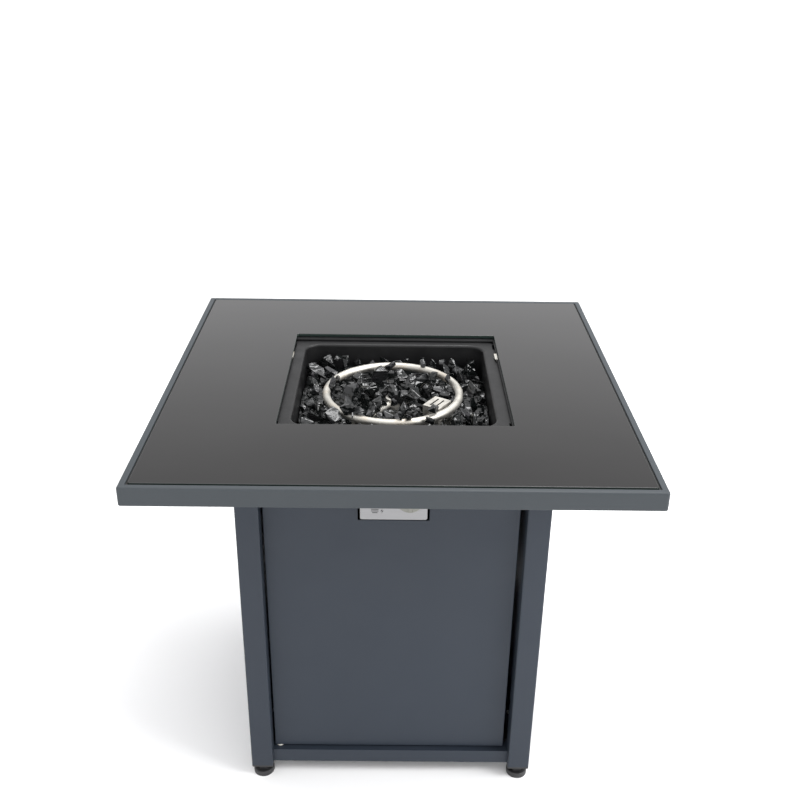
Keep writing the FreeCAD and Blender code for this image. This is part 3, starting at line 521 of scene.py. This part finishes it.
def chip_heap():
    kinds = [chip_kind() for _ in range(CHIP_KINDS)]
    verts = []
    faces = []
    reflection_and_gloss_tones = []
    count = 0
    for x, y, z, radius in settled_chips() + riders():
        shape, sides, facets = kinds[random.randrange(CHIP_KINDS)]
        turn = Euler([random.uniform(0, 2 * math.pi) for _ in range(3)]).to_matrix()
        verts.append(shape @ np.array(turn).T * radius + (x, y, z))
        faces += [tuple(i + count for i in side) for side in sides]
        reflection_and_gloss_tones += facets
        count += len(shape)
    mesh = mesh_from("glass_chips", np.concatenate(verts), faces)
    # The per-facet tone sets the chips' painted reflection (a lighter lilac grey on some facets) and their
    # gloss.
    tone = mesh.attributes.new("tone", "FLOAT", "FACE")
    tone.data.foreach_set("value", reflection_and_gloss_tones)
    return mesh


def chip_bed():
    """The lower chips as one closed rough block, seen only as dark gaps between those on top."""
    steps = 60
    made = bmesh.new()
    bmesh.ops.create_grid(made, x_segments=steps, y_segments=steps, size=1)
    for v in made.verts:
        square = max(abs(v.co.x), abs(v.co.y), 1e-6)
        length = math.hypot(v.co.x, v.co.y) or 1e-6
        round_in = 1 - 0.07 * max(0.0, length / square - 1) / (math.sqrt(2) - 1)
        v.co.x = BED_MIDDLE.x + v.co.x * (PAN_HALF - 0.001) * round_in
        v.co.y = BED_MIDDLE.y + v.co.y * (PAN_HALF - 0.001) * round_in
        v.co.z = BED_LEVEL + 0.006 * noise.cell(Vector((v.co.x * 70, v.co.y * 70, 0))) - 0.004
    bottom = bmesh.ops.extrude_face_region(made, geom=made.faces[:])
    for v in bottom["geom"]:
        if isinstance(v, bmesh.types.BMVert):
            v.co.z = BED_LOW.z + 0.0005
    bmesh.ops.recalc_face_normals(made, faces=made.faces)
    mesh = bpy.data.meshes.new("chip_bed")
    made.to_mesh(mesh)
    made.free()
    return mesh


chips = piece("glass_chips", chip_heap(), "fire_glass_chips", "table")
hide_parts("fire_glass")
piece("chip_bed", chip_bed(), "fire_glass_chips", "table")


# Printed marks and inlays, as thin raised pieces

def plate_strip(name, outline, front, thickness, body, slot, material):
    """A thin raised shape on a surface that faces -Y. The outline is in X and Z."""
    made = bmesh.new()
    face = made.faces.new([made.verts.new((x, front, z)) for x, z in outline])
    pulled = bmesh.ops.extrude_face_region(made, geom=[face])
    for v in pulled["geom"]:
        if isinstance(v, bmesh.types.BMVert):
            v.co.y -= thickness
    bmesh.ops.recalc_face_normals(made, faces=made.faces)
    mesh = bpy.data.meshes.new(name)
    made.to_mesh(mesh)
    made.free()
    return piece(name, mesh, slot, body, material)


def bar_outline(x, z, width, height, turn=0.0):
    corners = ((-width, -height), (width, -height), (width, height), (-width, height))
    c, s = math.cos(turn), math.sin(turn)
    return [(x + (a * c - b * s) / 2, z + (a * s + b * c) / 2) for a, b in corners]


def spark_outline(x, z, size):
    """A plain lightning flash."""
    shape = ((0.15, 1), (-0.55, -0.12), (-0.05, -0.12), (-0.2, -1), (0.55, 0.2), (0.05, 0.2))
    return [(x + a * size, z + b * size) for a, b in shape]


fascia_front = FASCIA_LOW.y
knob_middle = middle(KNOB_LOW, KNOB_HIGH)
button_middle = middle(BUTTON_LOW, BUTTON_HIGH)
INK_THICK = 0.00012
mark_z = FASCIA_LOW.z + 0.0145
plate_strip("spark_mark", spark_outline(button_middle.x + 0.0075, mark_z, 0.0042), fascia_front, INK_THICK,
            "table", "fascia_silver", ink)
for row, width in enumerate((0.011, 0.011, 0.008)):
    bar = bar_outline(button_middle.x - 0.003, mark_z + 0.0028 - 0.0028 * row, width, 0.0014)
    plate_strip(f"spark_bar_{row}", bar, fascia_front, INK_THICK, "table", "fascia_silver", ink)
for k in range(8):
    around = math.radians(100 + 26 * k)
    reach = (KNOB_HIGH.x - KNOB_LOW.x) / 2 + 0.0035
    at = (knob_middle.x + reach * math.cos(around), knob_middle.z + reach * math.sin(around))
    plate_strip(f"knob_scale_{k}", bar_outline(*at, 0.0022, 0.0004 + 0.00018 * k, around),
                fascia_front, INK_THICK, "table", "fascia_silver", ink)
plate_strip("knob_pointer", bar_outline(knob_middle.x, knob_middle.z + 0.0105, 0.0016, 0.0095),
            KNOB_LOW.y + 0.00005, INK_THICK, "knob", "knob_plastic", white_ink)
plate_strip("button_flash", spark_outline(button_middle.x, button_middle.z, 0.0042), BUTTON_LOW.y + 0.00005,
            INK_THICK, "spark_button", "button_plastic", white_ink)


# Threads, as helical ridges

def thread(name, axis_point, radius, z0, z1, pitch, body, slot):
    """A V-shaped ridge wound round an upright stem."""
    around = 20
    turns = (z1 - z0) / pitch
    steps = int(turns * around)
    verts = []
    for k in range(steps + 1):
        angle = 2 * math.pi * k / around
        z = z0 + (z1 - z0) * k / steps
        fade = min(1.0, k / 8, (steps - k) / 8)
        for reach, rise in ((-0.0002, -pitch * 0.42), (pitch * 0.42 * fade, 0), (-0.0002, pitch * 0.42)):
            r = radius + reach
            verts.append((axis_point.x + r * math.cos(angle), axis_point.y + r * math.sin(angle), z + rise))
    faces = []
    for k in range(steps):
        a, b = 3 * k, 3 * k + 3
        faces += [(a, b, b + 1, a + 1), (a + 1, b + 1, b + 2, a + 2), (a + 2, b + 2, b, a)]
    faces += [(0, 1, 2), (3 * steps + 2, 3 * steps + 1, 3 * steps)]
    return piece(name, mesh_from(name, verts, faces), slot, body)


for side in ("front_left", "front_right", "back_left", "back_right"):
    low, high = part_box(f"foot_{side}")
    thread(f"foot_thread_{side}", middle(low, high), 0.004, 0.0158, 0.0212, 0.00125,
           f"{side}_foot", "black_plastic")
inlet_low, inlet_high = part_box("inlet_fitting")
thread("inlet_thread", middle(inlet_low, inlet_high), 0.0079,
       inlet_low.z + 0.004, inlet_low.z + 0.016, 0.0016, "table", "brass")


# Camera, light and floor

LENS = 43.985
TILT = 64.163
ROLL = -0.43
SWING = 0.6


def make_camera():
    data = bpy.data.cameras.new("camera")
    data.lens = LENS
    data.sensor_width = 36
    camera = bpy.data.objects.new("camera", data)
    bpy.context.scene.collection.objects.link(camera)
    turn = Matrix.Rotation(math.radians(TILT), 4, "X")
    turn = turn @ Matrix.Rotation(math.radians(ROLL), 4, "Y") @ Matrix.Rotation(math.radians(SWING), 4, "Z")
    camera.matrix_world = Matrix.Translation((-0.00265, -1.42814, FRAME_TOP + 0.64818)) @ turn
    bpy.context.scene.camera = camera


def softbox(name, place, aim, size, power, colour=(1, 1, 1)):
    light = bpy.data.lights.new(name, "AREA")
    light.shape = "RECTANGLE"
    light.size, light.size_y = size
    light.energy = power
    light.color = colour
    made = bpy.data.objects.new(name, light)
    made.location = place
    made.rotation_euler = (Vector(aim) - Vector(place)).to_track_quat("-Z", "Y").to_euler()
    bpy.context.scene.collection.objects.link(made)


def studio_world():
    """White low down and greyer overhead, like a studio cove."""
    world = bpy.data.worlds.new("studio")
    bpy.context.scene.world = world
    world.use_nodes = True
    tree = world.node_tree
    place = tree.nodes.new("ShaderNodeTexCoord").outputs["Generated"]
    split = tree.nodes.new("ShaderNodeSeparateXYZ")
    ramp = tree.nodes.new("ShaderNodeValToRGB")
    tree.links.new(place, split.inputs[0])
    tree.links.new(split.outputs["Z"], ramp.inputs["Fac"])
    stops = ((0.0, 1.0), (0.22, 1.25), (0.34, 1.15), (0.52, 0.55), (0.64, 0.6), (0.8, 1.7), (1.0, 2.1))
    for at, level in stops[1:-1]:
        ramp.color_ramp.elements.new(at)
    for element, (at, level) in zip(ramp.color_ramp.elements, stops):
        element.position = at
        element.color = (level, level, level * 1.01, 1)
    background = tree.nodes["Background"]
    tree.links.new(ramp.outputs["Color"], background.inputs["Color"])
    background.inputs["Strength"].default_value = 1.0


def make_floor():
    size = 60
    steps = 12
    rows = [size * (k / steps - 0.5) for k in range(steps + 1)]
    verts = [(x, y, 0) for y in rows for x in rows]
    wide = steps + 1
    faces = [(j * wide + i, j * wide + i + 1, (j + 1) * wide + i + 1, (j + 1) * wide + i)
             for j in range(steps) for i in range(steps)]
    floor = bpy.data.objects.new("floor", mesh_from("floor", verts, faces))
    bpy.context.scene.collection.objects.link(floor)
    s = Surface("pale_floor", (0.93, 0.93, 0.93), 0.7)
    s.paint(s.mix(s.noise(3, 3), (0.92, 0.92, 0.92), (0.94, 0.94, 0.94)))
    floor.data.materials.append(s.material)


make_camera()
studio_world()
make_floor()
softbox("key", (2.1, -0.9, 2.2), (0, 0, 0.5), (1.3, 1.3), 60)
softbox("top", (0.5, 0.6, 2.6), (0, 0, 0.6), (1.2, 0.8), 30)
softbox("front", (-0.6, -3.0, 1.2), (0, 0, 0.4), (2.0, 1.4), 14)
softbox("side", (2.3, -1.1, 0.55), (0, 0, 0.35), (0.8, 0.8), 7)
bpy.context.scene.view_settings.view_transform = "Standard"
